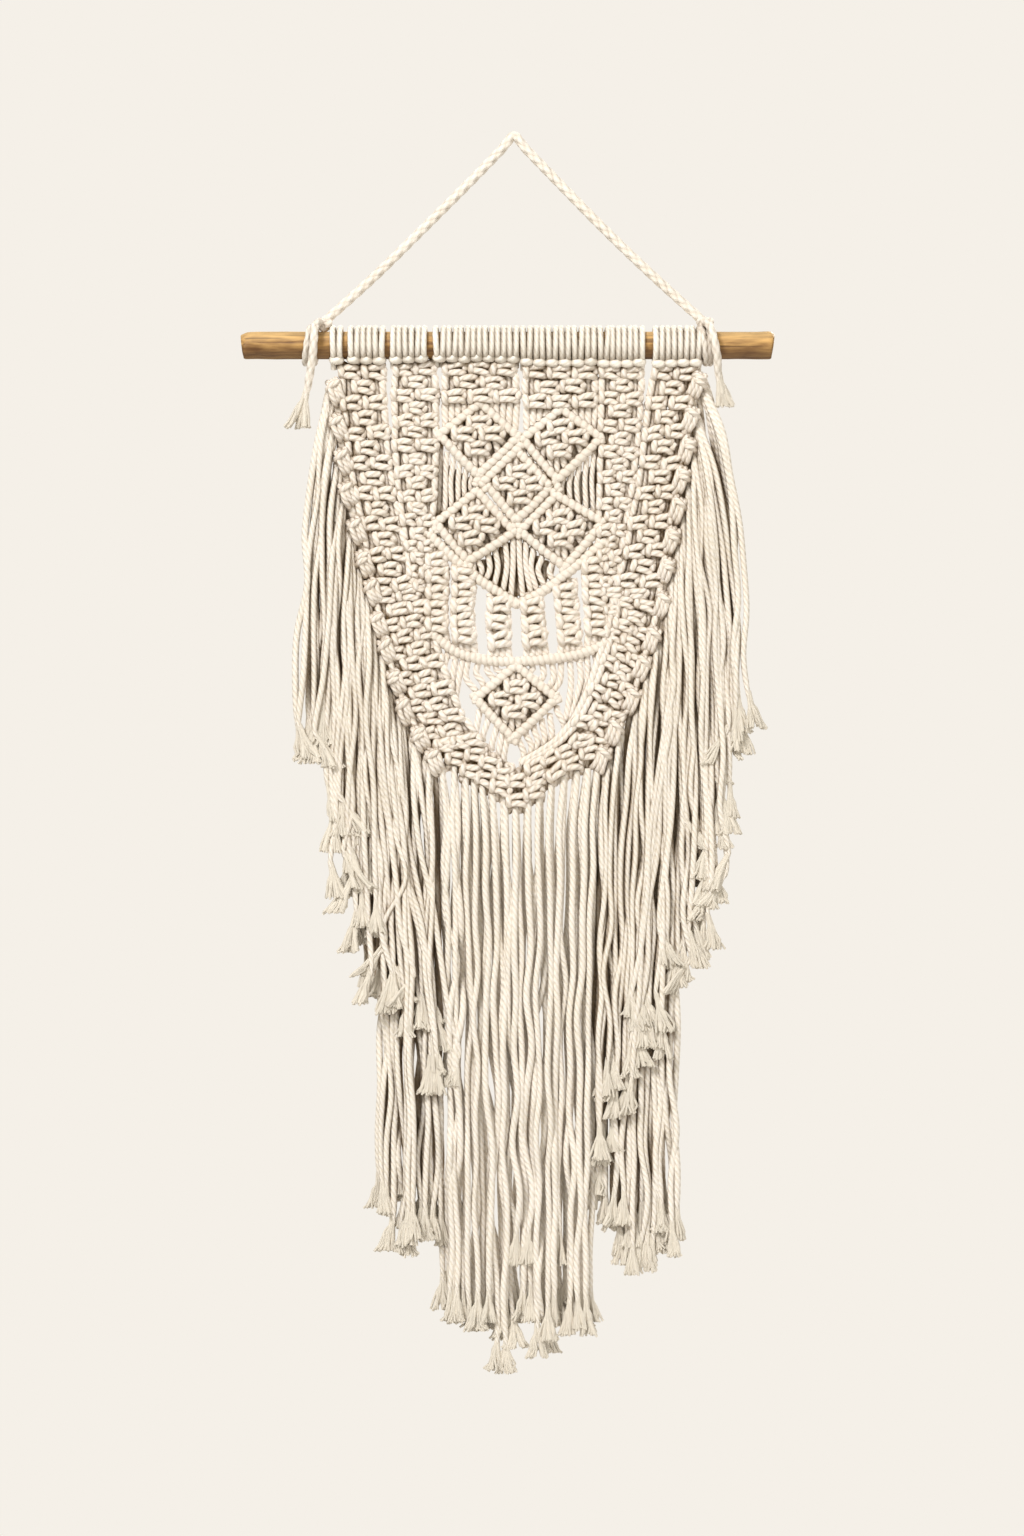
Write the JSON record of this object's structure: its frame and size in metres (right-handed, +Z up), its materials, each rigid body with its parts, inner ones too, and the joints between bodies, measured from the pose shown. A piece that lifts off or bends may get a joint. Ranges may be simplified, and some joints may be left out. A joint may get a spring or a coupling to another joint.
{
  "type": "macrame wall hanging on a wooden dowel",
  "caption": "Cream macrame wall hanging on a wooden dowel: knotted V-shaped panel with small diamonds and braids, long stepped fringe and a cord to hang it by.",
  "frame": {"origin": "seat of the nail, under the top of the hanging cord, in the plane of the dowel's axis", "axes": "+Z up, +X to the right along the dowel as seen from the front, +Y towards the wall, -Y out of the front"},
  "size_m": [0.3717, 0.0366, 0.8629],
  "materials": {
    "dowel_wood": "matt",
    "cotton_cord": "matt"
  },
  "bodies": {
    "root": {"dowel": "dowel_wood", "hanging_cord": "cotton_cord", "knotted_panel": "cotton_cord", "fringe_left": "cotton_cord", "fringe_centre": "cotton_cord", "fringe_right": "cotton_cord"}
  },
  "joints": []
}
